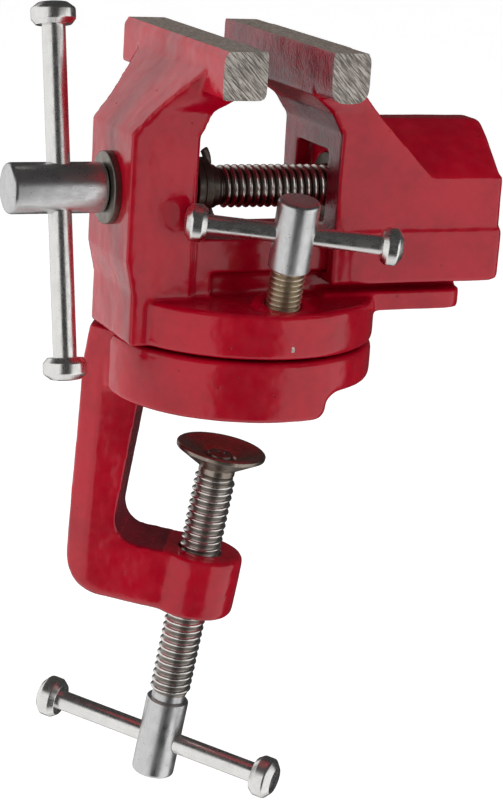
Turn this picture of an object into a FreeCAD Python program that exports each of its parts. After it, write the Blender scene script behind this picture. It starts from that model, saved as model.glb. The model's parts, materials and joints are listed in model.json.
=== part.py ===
import FreeCAD, Part
import os
import Sketcher

# Clamp-on swivel bench vise.  Frame: +Z up along the swivel axis, +X along the main screw from its
# handle towards the moving jaw, origin on the swivel axis in the face that sits on the bench.

doc = FreeCAD.newDocument("BenchVise")
sheet = doc.addObject("Spreadsheet::Sheet", "Sizes")
V = FreeCAD.Vector
X_AXIS, Y_AXIS, Z_AXIS = V(1, 0, 0), V(0, 1, 0), V(0, 0, 1)

# Every driving size, in millimetres and degrees: alias, value, meaning.
SIZES = [
    # swivel discs
    ("disc_radius", 30.6, "radius of both swivel discs"),
    ("lower_disc_height", 13.7, "bench face to the top of the lower disc"),
    ("flange_height", 8.0, "thickness of the lower disc where its boss is cut away"),
    ("lower_boss_end", 22.0, "distance of the boss end from the swivel axis, away from the post"),
    ("boss_round", 2.6, "rounding down the end of that boss"),
    ("seam_gap", 0.6, "open seam between the discs outside the hub"),
    ("hub_radius", 15.0, "radius of the bearing hub under the upper disc"),
    ("upper_disc_height", 10.1, "thickness of the upper disc"),
    ("rim_round", 1.2, "rounding of the cast rims"),
    # pivot
    ("pivot_radius", 4.0, "radius of the pivot bolt"),
    ("pivot_thread_depth", 11.0, "depth of the pivot thread in the lower disc"),
    ("pivot_floor", 5.6, "thickness of the upper disc under the pivot washer"),
    ("pivot_washer_radius", 7.2, "radius of the pivot washers"),
    ("pivot_washer_height", 1.2, "thickness of the plain pivot washer"),
    ("spring_washer_height", 1.6, "thickness of the split spring washer"),
    ("spring_washer_radius", 6.4, "radius of the split spring washer"),
    ("pivot_head_flats", 12.0, "width across the flats of the pivot bolt head"),
    ("pivot_head_height", 5.3, "height of the pivot bolt head"),
    ("well_radius", 7.8, "radius of the nut well in the rail"),
    ("running_clearance", 0.05, "radial clearance of shafts in their holes"),
    ("slide_clearance", 0.2, "clearance of the moving jaw on its rail"),
    # fixed jaw casting
    ("body_half", 13.2, "half width of the fixed jaw body"),
    ("body_outer", 33.0, "distance of the outer face from the swivel axis"),
    ("body_foot_outer", 31.4, "the same at the foot, where it meets the disc"),
    ("body_foot_height", 26.0, "height where the foot starts to lean out"),
    ("body_waist_height", 33.0, "height where the outer face becomes upright"),
    ("body_inner", 16.7, "distance of the throat wall from the swivel axis"),
    ("body_shoulder", 61.3, "height where the outer face starts to lean in"),
    ("body_round", 2.2, "rounding of the upright edges"),
    ("bore_boss_radius", 6.4, "radius of the boss round the screw bore, inside the throat"),
    ("bore_boss_length", 2.4, "how far that boss stands out of the throat wall"),
    # jaws
    ("jaw_half", 21.2, "half width of the jaws"),
    ("jaw_top", 81.4, "height of the jaw tops"),
    ("jaw_depth", 10.2, "height of the ground jaw ends"),
    ("fixed_jaw_face", 10.2, "distance of the fixed jaw face from the swivel axis"),
    ("fixed_jaw_thick", 9.9, "thickness of the fixed jaw"),
    ("opening", 15.1, "jaw opening as drawn"),
    ("moving_jaw_thick", 8.8, "thickness of the moving jaw"),
    ("flare_height", 5.2, "how far the flare runs up behind the jaw ends"),
    ("jaw_chamfer", 1.2, "corner chamfer of the fixed jaw ends"),
    ("jaw_corner", 3.2, "corner rounding under the moving jaw ends"),
    # rail
    ("rail_end", 50.4, "distance of the rail end from the swivel axis"),
    ("rail_head_half", 11.5, "half width of the rail head"),
    ("rail_web_half", 9.0, "half width of the rail web"),
    ("rail_head_bottom", 30.0, "height of the underside of the rail head"),
    ("rail_top", 37.5, "height of the rail top"),
    ("ledge_half", 14.6, "half width of the ledge under the rail"),
    ("ledge_bottom", 20.9, "height of the underside of the ledge"),
    ("ledge_top", 25.4, "height of the top of the ledge"),
    ("ledge_start", 14.0, "distance of the start of the ledge from the swivel axis"),
    ("ledge_corner", 5.0, "corner radius of the ledge"),
    # moving jaw casting
    ("box_inner", 15.4, "distance of the moving throat wall from the swivel axis"),
    ("box_end", 57.7, "distance of the box end from the swivel axis"),
    ("box_half", 15.5, "half width of the box"),
    ("box_bottom", 27.4, "height of the box bottom"),
    ("box_side_top", 51.7, "height of the upright sides"),
    ("box_top", 63.3, "height of the box top"),
    ("box_top_half", 5.0, "half width of the flat box top"),
    ("box_wall", 3.0, "wall of the box end"),
    ("box_round", 2.0, "rounding of the box edges"),
    ("roof_round", 3.2, "rounding of the roof end"),
    ("slope_top", 76.2, "height where the back of the moving jaw starts to slope"),
    ("band_height", 39.0, "height of the parting band on the box"),
    ("band_proud", 0.35, "how far the parting band stands out"),
    ("core_half", 8.5, "half width of the cored screw passage"),
    ("core_bottom", 40.5, "height of the bottom of the cored passage"),
    ("core_top", 55.5, "height of the top of the cored passage"),
    ("window_top", 57.0, "height of the top of the window in the throat wall"),
    ("nut_wall_start", 4.0, "throat wall to the nut wall"),
    ("nut_length", 10.0, "length of the jaw nut"),
    ("nut_radius", 7.4, "outer radius of the jaw nut"),
    ("nut_flange", 1.5, "thickness of the jaw nut flange"),
    ("core_hole_radius", 6.5, "hole in the box end for the screw to pass when closed"),
    # main screw
    ("screw_height", 47.4, "height of the main screw axis"),
    ("screw_radius", 4.9, "thread radius of the main screw"),
    ("screw_pitch", 1.8, "thread pitch of the main screw"),
    ("screw_end", 46.0, "distance of the screw end from the swivel axis"),
    ("screw_shank_end", 8.6, "distance of the thread start from the swivel axis"),
    ("screw_head_step", 0.75, "step of the main screw head over its thread"),
    ("screw_head_length", 22.0, "length of the main screw head"),
    ("head_dome", 1.6, "edge rounding of the screw head ends"),
    ("screw_bar_from_end", 12.1, "bar hole axis to the end of the main screw head"),
    ("thrust_washer_radius", 8.1, "radius of the outer thrust washer"),
    ("thrust_washer_thick", 1.7, "thickness of the outer thrust washer"),
    ("retaining_washer_radius", 6.6, "radius of the inner retaining washer"),
    ("retaining_washer_thick", 3.6, "thickness of the inner retaining washer"),
    ("split_pin_radius", 0.9, "radius of the split pin"),
    ("split_pin_proud", 2.4, "length of the split pin standing out of the screw"),
    # bars
    ("main_bar_radius", 2.6, "radius of the main bar"),
    ("main_bar_half", 38.8, "middle of the main bar to the middle of a knob"),
    ("main_bar_turn", 13.7, "turn of the main bar from upright, as drawn"),
    ("main_bar_shift", 0.85, "shift of the main bar along itself, as drawn"),
    ("main_knob_radius", 4.95, "radius of the main bar knobs"),
    ("main_knob_length", 5.1, "length of the main bar knobs"),
    ("bar_clearance", 0.08, "radial clearance of a bar in its hole"),
    ("knob_round", 1.1, "rounding of the knobs"),
    ("knob_seat", 1.2, "solid end of each knob beyond the bar"),
    # lock screw
    ("lock_x", 0.7, "lock screw foot along the main screw"),
    ("lock_y", 22.0, "lock screw foot in front of the swivel axis"),
    ("lock_lean", 12.0, "lean of the lock screw out of upright"),
    ("lock_radius", 3.95, "thread radius of the lock screw"),
    ("lock_boss_radius", 6.8, "radius of the sloping boss round the lock screw"),
    ("lock_boss_proud", 0.9, "height of that boss above the disc"),
    ("lock_pitch", 1.25, "thread pitch of the lock screw"),
    ("lock_head_start", 9.4, "foot to the underside of the lock screw head"),
    ("lock_head_radius", 4.7, "radius of the lock screw head"),
    ("lock_head_length", 16.1, "length of the lock screw head"),
    ("lock_bar_height", 17.4, "foot to the lock bar axis"),
    ("lock_bar_radius", 2.15, "radius of the lock bar"),
    ("lock_bar_half", 21.6, "middle of the lock bar to the middle of a knob"),
    ("lock_bar_turn", 20.0, "turn of the lock bar about its screw, as drawn"),
    ("lock_knob_radius", 4.2, "radius of the lock bar knobs"),
    ("lock_knob_length", 4.8, "length of the lock bar knobs"),
    ("shoe_radius", 3.0, "radius of the lock shoe"),
    ("shoe_height", 3.0, "height of the lock shoe"),
    ("shoe_round", 0.3, "rounding of the lock shoe"),
    ("lock_dome", 0.9, "rounding of the lock screw head"),
    # clamp frame
    ("clamp_turn", 28.0, "turn of the clamp frame about the swivel axis, as drawn"),
    ("clamp_lean", 8.2, "lean of the clamp screw out of upright, away from the post"),
    ("frame_half", 9.0, "half width of the post and the arm"),
    ("post_inner", 20.4, "clamp screw axis to the inner face of the post"),
    ("post_outer_top", 35.2, "clamp screw axis to the outer face, at the top"),
    ("post_outer_foot", 29.6, "clamp screw axis to the outer face, at the foot"),
    ("arm_top", 40.0, "bench face to the top of the arm, along the clamp screw"),
    ("arm_bottom", 54.8, "bench face to the underside of the arm"),
    ("arm_boss_radius", 10.4, "radius of the threaded boss"),
    ("frame_inner_round", 6.0, "inner corner radius of the frame"),
    ("frame_outer_round", 10.0, "outer corner radius of the frame"),
    ("frame_edge_round", 2.6, "rounding of the outer edges of the post"),
    # clamp screw and pad
    ("clamp_radius", 4.85, "thread radius of the clamp screw"),
    ("clamp_pitch", 1.75, "thread pitch of the clamp screw"),
    ("pad_top", 14.6, "bench face to the top of the pad, as drawn"),
    ("pad_radius", 10.6, "rim radius of the pad"),
    ("pad_rim", 1.1, "rim height of the pad"),
    ("pad_height", 6.5, "height of the pad with its neck"),
    ("pad_neck_radius", 4.3, "radius of the pad neck"),
    ("pad_neck_height", 1.5, "height of the pad neck"),
    ("pad_dish_radius", 9.4, "radius of the dish in the pad"),
    ("pad_dish_floor", 3.8, "radius of the dish floor"),
    ("pad_dish_depth", 2.2, "depth of the dish"),
    ("spigot_radius", 2.4, "radius of the spigot that carries the pad"),
    ("peen_radius", 3.3, "radius of the peened spigot end"),
    ("peen_height", 0.8, "height of the peened spigot end"),
    ("clamp_thread_end", 77.4, "bench face to the lower thread end"),
    ("clamp_neck_radius", 4.0, "radius of the neck above the clamp screw head"),
    ("clamp_head_start", 79.2, "bench face to the top of the clamp screw head"),
    ("clamp_head_radius", 5.1, "radius of the clamp screw head"),
    ("clamp_head_length", 19.4, "length of the clamp screw head"),
    ("clamp_dome", 0.9, "rounding of the clamp screw head"),
    ("clamp_bar_depth", 89.7, "bench face to the clamp bar axis"),
    ("clamp_bar_radius", 2.4, "radius of the clamp bar"),
    ("clamp_bar_half", 29.2, "middle of the clamp bar to the middle of a knob"),
    ("clamp_bar_turn", 18.0, "turn of the clamp bar about its screw, as drawn"),
    ("clamp_bar_shift", 0.8, "shift of the clamp bar along itself, as drawn"),
    ("clamp_knob_radius", 4.95, "radius of the clamp bar knobs"),
    ("clamp_knob_length", 5.5, "length of the clamp bar knobs"),
    ("face_gap", 0.1, "axial play between parts that turn on each other"),
]
for row, (alias, value, meaning) in enumerate(SIZES, start=1):
    sheet.set(f"A{row}", alias)
    sheet.set(f"B{row}", str(value))
    sheet.set(f"C{row}", meaning)
    sheet.setAlias(f"B{row}", alias)
doc.recompute()

ALIASES = sorted((alias for alias, _, _ in SIZES), key=len, reverse=True)


def bound(text):
    """The expression text with each alias pointed at the sheet."""
    words = []
    word = ""
    for letter in str(text) + " ":
        if letter.isalnum() or letter in "_.":
            word += letter
        else:
            words.append(f"Sizes.{word}" if word in ALIASES else word)
            words.append(letter)
            word = ""
    return "".join(words).strip()


def value_of(text):
    """The number that an expression gives now."""
    result = sheet.evalExpression(bound(text))
    return float(getattr(result, "Value", result))


def bind(obj, **sizes):
    for prop, text in sizes.items():
        setattr(obj, prop, value_of(text))
        obj.setExpression(prop, bound(text))


def put(obj, at=(0, 0, 0), rotation=None):
    """Place an object: bound position, fixed rotation."""
    obj.Placement = FreeCAD.Placement(V(*[value_of(a) for a in at]), rotation or FreeCAD.Rotation())
    for axis, text in zip("xyz", at):
        obj.setExpression(f"Placement.Base.{axis}", bound(text))
    return obj


TO_X = FreeCAD.Rotation(Y_AXIS, 90)
TO_Y = FreeCAD.Rotation(X_AXIS, -90)


def cylinder(name, radius, height, at=(0, 0, 0), rotation=None):
    obj = doc.addObject("Part::Cylinder", name)
    bind(obj, Radius=radius, Height=height)
    return put(obj, at, rotation)


def cone(name, radius1, radius2, height, at=(0, 0, 0), rotation=None):
    obj = doc.addObject("Part::Cone", name)
    bind(obj, Radius1=radius1, Radius2=radius2, Height=height)
    return put(obj, at, rotation)


def block(name, x0, x1, half_y, z0, z1):
    """A box from x0 to x1 and z0 to z1, centred on Y."""
    obj = doc.addObject("Part::Box", name)
    bind(obj, Length=f"({x1}) - ({x0})", Width=f"2 * ({half_y})", Height=f"({z1}) - ({z0})")
    return put(obj, (x0, f"-({half_y})", z0))


def outline(name, points, at=(0, 0, 0), rotation=None):
    """A closed sketch of straight lines whose corners are bound to the sheet."""
    sketch = doc.addObject("Sketcher::SketchObject", name)
    corners = [V(value_of(a), value_of(b), 0) for a, b in points]
    count = len(corners)
    for i in range(count):
        sketch.addGeometry(Part.LineSegment(corners[i], corners[(i + 1) % count]), False)
    for i in range(count):
        sketch.addConstraint(Sketcher.Constraint("Coincident", i, 2, (i + 1) % count, 1))
    for i, (a, b) in enumerate(points):
        for kind, text, amount in (("DistanceX", a, corners[i].x), ("DistanceY", b, corners[i].y)):
            number = sketch.addConstraint(Sketcher.Constraint(kind, -1, 1, i, 1, amount))
            sketch.setExpression(f"Constraints[{number}]", bound(text))
    return put(sketch, at, rotation)


ON_XZ = FreeCAD.Rotation(X_AXIS, 90)
ON_YZ = FreeCAD.Rotation(V(0, 1, 0), V(0, 0, 1), V(1, 0, 0), "ZXY")


def extrusion(name, sketch, direction, length, symmetric=False):
    obj = doc.addObject("Part::Extrusion", name)
    obj.Base = sketch
    obj.DirMode = "Custom"
    obj.Dir = direction
    obj.Solid = True
    obj.Symmetric = symmetric
    bind(obj, LengthFwd=length)
    return obj


def side_plate(name, points, half_width):
    """An outline in the XZ plane, given (x, z), extruded both ways along Y."""
    return extrusion(name, outline(name + "Outline", points, rotation=ON_XZ), Y_AXIS,
                     f"2 * ({half_width})", True)


def loft(name, sections):
    obj = doc.addObject("Part::Loft", name)
    obj.Sections = sections
    obj.Solid = True
    obj.Ruled = True
    return obj


def level(name, z, x0, half0, x1, half1):
    """A four-sided section at height z for a loft: half widths half0 at x0 and half1 at x1."""
    corners = [(x0, f"-({half0})"), (x1, f"-({half1})"), (x1, half1), (x0, half0)]
    return outline(name, corners, at=("0", "0", z))


def fuse(name, shapes):
    obj = doc.addObject("Part::MultiFuse", name)
    obj.Shapes = shapes
    obj.Refine = True
    return obj


def cut(name, base, tools):
    obj = doc.addObject("Part::Cut", name)
    obj.Base = base
    obj.Tool = tools[0] if len(tools) == 1 else fuse(name + "Tools", tools)
    obj.Refine = True
    return obj


def rounded(name, base, radius, wanted, kind="Part::Fillet"):
    """Round or chamfer the edges of base that `wanted` picks by their middle point and direction."""
    doc.recompute()
    chosen = []
    for number, edge in enumerate(base.Shape.Edges, start=1):
        middle = edge.valueAt((edge.FirstParameter + edge.LastParameter) / 2)
        heading = edge.tangentAt((edge.FirstParameter + edge.LastParameter) / 2)
        if wanted(edge, middle, heading):
            chosen.append((number, value_of(radius), value_of(radius)))
    obj = doc.addObject(kind, name)
    obj.Base = base
    obj.Edges = chosen
    return obj


def near(a, b, tolerance=0.05):
    return abs(a - b) < tolerance


NODES = []


def node(obj, label, placement=None):
    """Give a finished sub-part its own name and place."""
    obj.Label = label
    if placement is not None:
        for axis in "xyz":
            obj.setExpression(f"Placement.Base.{axis}", None)
        obj.Placement = placement
    NODES.append(obj)
    return obj


# Heights and places that several pieces share, as expressions of the sheet.
SEAM = "lower_disc_height"
RIM = "lower_disc_height + seam_gap"
DISC_TOP = "lower_disc_height + seam_gap + upper_disc_height"
PIVOT_SEAT = "lower_disc_height + seam_gap + pivot_floor"
JAW_BOTTOM = "jaw_top - jaw_depth"
FLARE_TOP = "jaw_top - jaw_depth + flare_height"
FIXED_BACK = "fixed_jaw_face + fixed_jaw_thick"
MOVING_FACE = "opening - fixed_jaw_face"
MOVING_BACK = "opening - fixed_jaw_face + moving_jaw_thick"
HEAD_END = "body_outer + thrust_washer_thick + face_gap + screw_head_length"
OVERRUN = 1.0      # how far a cutting tool stands past the face it cuts
BOSS_DEPTH = 6.0   # how far the lock boss reaches down into the disc
DRILL_OVERRUN = 10.0   # how far the clamp thread drill stands past each side of the arm

turn_about_z = FreeCAD.Rotation(Z_AXIS, -value_of("clamp_turn"))
CLAMP = FreeCAD.Placement(V(0, 0, 0), turn_about_z * FreeCAD.Rotation(Y_AXIS, value_of("clamp_lean")))
LOCK = FreeCAD.Placement(V(value_of("lock_x"), -value_of("lock_y"), value_of(DISC_TOP)),
                         FreeCAD.Rotation(X_AXIS, value_of("lock_lean")))
bar_up = FreeCAD.Rotation(X_AXIS, -value_of("main_bar_turn"))
MAIN = FreeCAD.Placement(V(-value_of(HEAD_END), 0, value_of("screw_height")),
                         bar_up * FreeCAD.Rotation(Z_AXIS, V(0, -1, 0), X_AXIS, "ZXY"))


def shifted(frame, x=0.0, y=0.0, z=0.0, turn=0.0):
    """A frame moved along its own axes and turned about its own Z axis."""
    return frame.multiply(FreeCAD.Placement(V(x, y, z), FreeCAD.Rotation(Z_AXIS, turn)))


def along_clamp(depth):
    """The point at a depth below the bench face on the clamp screw axis, as three expressions."""
    return (f"-({depth}) * sin(clamp_lean) * cos(clamp_turn)",
            f"({depth}) * sin(clamp_lean) * sin(clamp_turn)",
            f"-({depth}) * cos(clamp_lean)")


def along_lock(height):
    """The point at a height above the foot of the lock screw on its axis."""
    return ("lock_x", f"-lock_y - ({height}) * sin(lock_lean)",
            f"{DISC_TOP} + ({height}) * cos(lock_lean)")


def is_circle(edge, radius):
    return isinstance(edge.Curve, Part.Circle) and near(edge.Curve.Radius, value_of(radius))


# ---- clamp frame: lower swivel disc, post, arm and threaded boss ----
def make_clamp_frame():
    disc = cylinder("LowerDisc", "disc_radius", SEAM)
    beyond = block("BeyondBoss", "lower_boss_end", "2 * disc_radius", "disc_radius",
                   f"-{OVERRUN}", f"{SEAM} - flange_height")
    beyond.Placement = FreeCAD.Placement(V(0, 0, 0), turn_about_z).multiply(beyond.Placement)
    corner_x = "lower_boss_end * cos(clamp_turn) - disc_radius * sin(clamp_turn)"
    corner_y = "-lower_boss_end * sin(clamp_turn) - disc_radius * cos(clamp_turn)"
    beyond.setExpression("Placement.Base.x", bound(corner_x))
    beyond.setExpression("Placement.Base.y", bound(corner_y))
    sharp_step = cut("SteppedDisc", disc, [beyond])
    out_of_boss = turn_about_z.multVec(X_AXIS)

    def boss_end(edge, middle, heading):
        on_end = near(middle.dot(out_of_boss), value_of("lower_boss_end"))
        return on_end and abs(heading.z) < 0.1
    stepped = rounded("RoundedStep", sharp_step, "boss_round", boss_end)

    def rim(edge, middle, heading):
        return (near(middle.z, 0) or near(middle.z, value_of(SEAM))) and is_circle(edge, "disc_radius")
    disc_round = rounded("RoundedDisc", stepped, "rim_round", rim)

    above = "disc_radius"
    corners = [("-post_outer_top", above), ("-post_outer_top", "0"), ("-post_outer_foot", "-arm_bottom"),
               ("0", "-arm_bottom"), ("0", "-arm_top"), ("-post_inner", "-arm_top"), ("-post_inner", above)]
    side = outline("PostOutline", corners, rotation=CLAMP.Rotation * ON_XZ)
    across = CLAMP.Rotation.multVec(Y_AXIS)
    post = extrusion("Post", side, across, "2 * frame_half", True)
    to_clamp = CLAMP.inverse()

    def crossing(radius_u, depth):
        def wanted(edge, middle, heading):
            local = to_clamp.multVec(middle)
            return near(local.x, -value_of(radius_u)) and near(local.z, -value_of(depth)) and near(local.y, 0)
        return wanted
    inner = rounded("InnerCorner", post, "frame_inner_round", crossing("post_inner", "arm_top"))
    outer = rounded("OuterCorner", inner, "frame_outer_round", crossing("post_outer_foot", "arm_bottom"))

    def outer_side(edge, middle, heading):
        local = to_clamp.multVec(middle)
        on_side = near(abs(local.y), value_of("frame_half"))
        below = local.z < value_of(SEAM)
        outside = local.x < -value_of("post_inner") - 3 or near(local.z, -value_of("arm_bottom"))
        return on_side and below and outside and local.z < 0.9 * value_of("disc_radius")
    softened = rounded("SoftPost", outer, "frame_edge_round", outer_side)

    boss = cylinder("ClampBoss", "arm_boss_radius", "arm_bottom - arm_top", along_clamp("arm_bottom"),
                    CLAMP.Rotation)
    boss_round = rounded("RoundedBoss", boss, "rim_round", lambda e, m, h: is_circle(e, "arm_boss_radius"))
    whole = fuse("ClampCasting", [disc_round, softened, boss_round])
    tools = [
        cylinder("AboveSeam", "3 * disc_radius", "2 * disc_radius", ("0", "0", SEAM)),
        cylinder("ClampThreadHole", "clamp_radius + running_clearance",
                 f"arm_bottom - arm_top + 2 * {DRILL_OVERRUN}", along_clamp(f"arm_bottom + {DRILL_OVERRUN}"),
                 CLAMP.Rotation),
        cylinder("PivotThreadHole", "pivot_radius", "2 * pivot_thread_depth",
                 ("0", "0", f"{SEAM} - pivot_thread_depth")),
    ]
    return node(cut("ClampFrame", whole, tools), "clamp_frame")


# ---- pivot bolt, screwed down into the lower disc, with its two washers ----
def ring(name, outer, inner, height, at):
    disc = cylinder(name + "Disc", outer, height, ("0", "0", at))
    hole = cylinder(name + "Hole", inner, f"3 * ({height})", ("0", "0", f"{at} - ({height})"))
    return cut(name, disc, [hole])


def make_pivot():
    washer_at = f"{PIVOT_SEAT} + face_gap"
    spring_at = f"{washer_at} + pivot_washer_height"
    head_at = f"{spring_at} + spring_washer_height"
    foot = f"{SEAM} - pivot_thread_depth"
    shank = cylinder("PivotShank", "pivot_radius", f"{head_at} - ({foot})", ("0", "0", foot))
    head = doc.addObject("Part::Prism", "PivotHead")
    head.Polygon = 6
    bind(head, Circumradius="pivot_head_flats / sqrt(3)", Height="pivot_head_height")
    put(head, ("0", "0", head_at))
    node(fuse("PivotBolt", [shank, head]), "pivot_bolt")
    hole = "pivot_radius + running_clearance"
    node(ring("PivotWasher", "pivot_washer_radius", hole, "pivot_washer_height", washer_at), "pivot_washer")
    coil = ring("SpringWasher", "spring_washer_radius", hole, "spring_washer_height", spring_at)
    slit = block("SpringSlit", "pivot_radius / 2", "2 * spring_washer_radius", "spring_washer_height / 3",
                 f"{spring_at} - {OVERRUN}", f"{head_at} + {OVERRUN}")
    node(cut("SplitWasher", coil, [slit]), "pivot_spring_washer")


# ---- fixed jaw casting: upper disc, body, jaw and rail ----
def make_fixed_jaw():
    disc = cylinder("UpperDisc", "disc_radius", "upper_disc_height", ("0", "0", RIM))
    disc_round = rounded("RoundedUpperDisc", disc, "rim_round", lambda e, m, h: is_circle(e, "disc_radius"))
    hub = cylinder("Hub", "hub_radius", "seam_gap + 1", ("0", "0", SEAM))
    body = side_plate("Body", [
        ("-body_foot_outer", RIM), ("-body_foot_outer", "body_foot_height"),
        ("-body_outer", "body_waist_height"), ("-body_outer", "body_shoulder"),
        ("-body_inner", "body_shoulder"), ("-body_inner", RIM)], "body_half")

    def upright(edge, middle, heading):
        on_side = near(abs(middle.y), value_of("body_half"))
        return on_side and abs(heading.z) > 0.9 and near(middle.x, -value_of("body_inner"))
    body_round = rounded("RoundedBody", body, "body_round", upright)

    lean_in = f"(body_outer - ({FIXED_BACK})) / ({FLARE_TOP} - body_shoulder)"
    mid = f"(body_shoulder + {JAW_BOTTOM}) / 2"
    flare = loft("Flare", [
        level("FlareFoot", "body_shoulder", "-body_outer", "body_half", "-body_inner", "body_half"),
        level("FlareMiddle", mid, f"-body_outer + ({lean_in}) * ({mid} - body_shoulder)",
              "body_half + 0.15 * (jaw_half - body_half)",
              "-body_inner + 0.22 * (body_inner - fixed_jaw_face)",
              "body_half + 0.2 * (jaw_half - body_half)"),
        level("FlareJaw", JAW_BOTTOM, f"-body_outer + ({lean_in}) * ({JAW_BOTTOM} - body_shoulder)",
              "body_half + 0.5 * (jaw_half - body_half)", "-fixed_jaw_face", "jaw_half"),
        level("FlareTop", FLARE_TOP, f"-({FIXED_BACK})", "jaw_half", "-fixed_jaw_face", "jaw_half")])
    jaw = block("FixedJawBar", f"-({FIXED_BACK})", "-fixed_jaw_face", "jaw_half", JAW_BOTTOM, "jaw_top")

    def jaw_edges(edge, middle, heading):
        outer_top = near(middle.x, -value_of(FIXED_BACK)) and near(middle.z, value_of("jaw_top"))
        inner_low = near(middle.x, -value_of("fixed_jaw_face")) and near(middle.z, value_of(JAW_BOTTOM))
        return abs(heading.y) > 0.9 and (outer_top or inner_low)
    jaw_cut = rounded("ChamferedJaw", jaw, "jaw_chamfer", jaw_edges, "Part::Chamfer")

    slot_start = "-body_inner + rail_web_half / 2"
    web = block("RailWeb", "-body_inner", "rail_end", "rail_web_half", "ledge_bottom", "rail_head_bottom")
    root = block("RailRoot", "-body_inner - 1", slot_start, "rail_head_half", RIM, "rail_top")
    head = block("RailHead", "-body_inner - 1", "rail_end", "rail_head_half", "rail_head_bottom", "rail_top")
    ledge = block("Ledge", "ledge_start", "rail_end", "ledge_half", "ledge_bottom", "ledge_top")
    ledge_round = rounded("RoundedLedge", ledge, "ledge_corner",
                          lambda e, m, h: abs(h.z) > 0.9 and near(m.x, value_of("rail_end")))
    boss = cylinder("LockBoss", "lock_boss_radius", f"lock_boss_proud + {BOSS_DEPTH}",
                    along_lock(f"-{BOSS_DEPTH}"), LOCK.Rotation)
    bore_boss = cylinder("BoreBoss", "bore_boss_radius", f"bore_boss_length + {OVERRUN}",
                         (f"-body_inner - {OVERRUN}", "0", "screw_height"), TO_X)
    solids = [disc_round, hub, body_round, flare, jaw_cut, web, root, head, ledge_round, boss, bore_boss]
    whole = fuse("FixedCasting", solids)
    reach = "upper_disc_height + seam_gap + 6"
    tools = [
        cylinder("ScrewBore", "screw_radius + running_clearance", "body_outer",
                 ("-body_outer - 3", "0", "screw_height"), TO_X),
        cylinder("NutWell", "well_radius", f"rail_top - ({PIVOT_SEAT}) + {OVERRUN}", ("0", "0", PIVOT_SEAT)),
        cylinder("UpperPivotHole", "pivot_radius + running_clearance", "upper_disc_height",
                 ("0", "0", f"{SEAM} - {OVERRUN}")),
        cylinder("LockThreadHole", "lock_radius + running_clearance", f"{reach} + lock_boss_proud + 8",
                 along_lock(f"-({reach})"), LOCK.Rotation),
    ]
    return node(cut("FixedJaw", whole, tools), "fixed_jaw")


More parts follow.
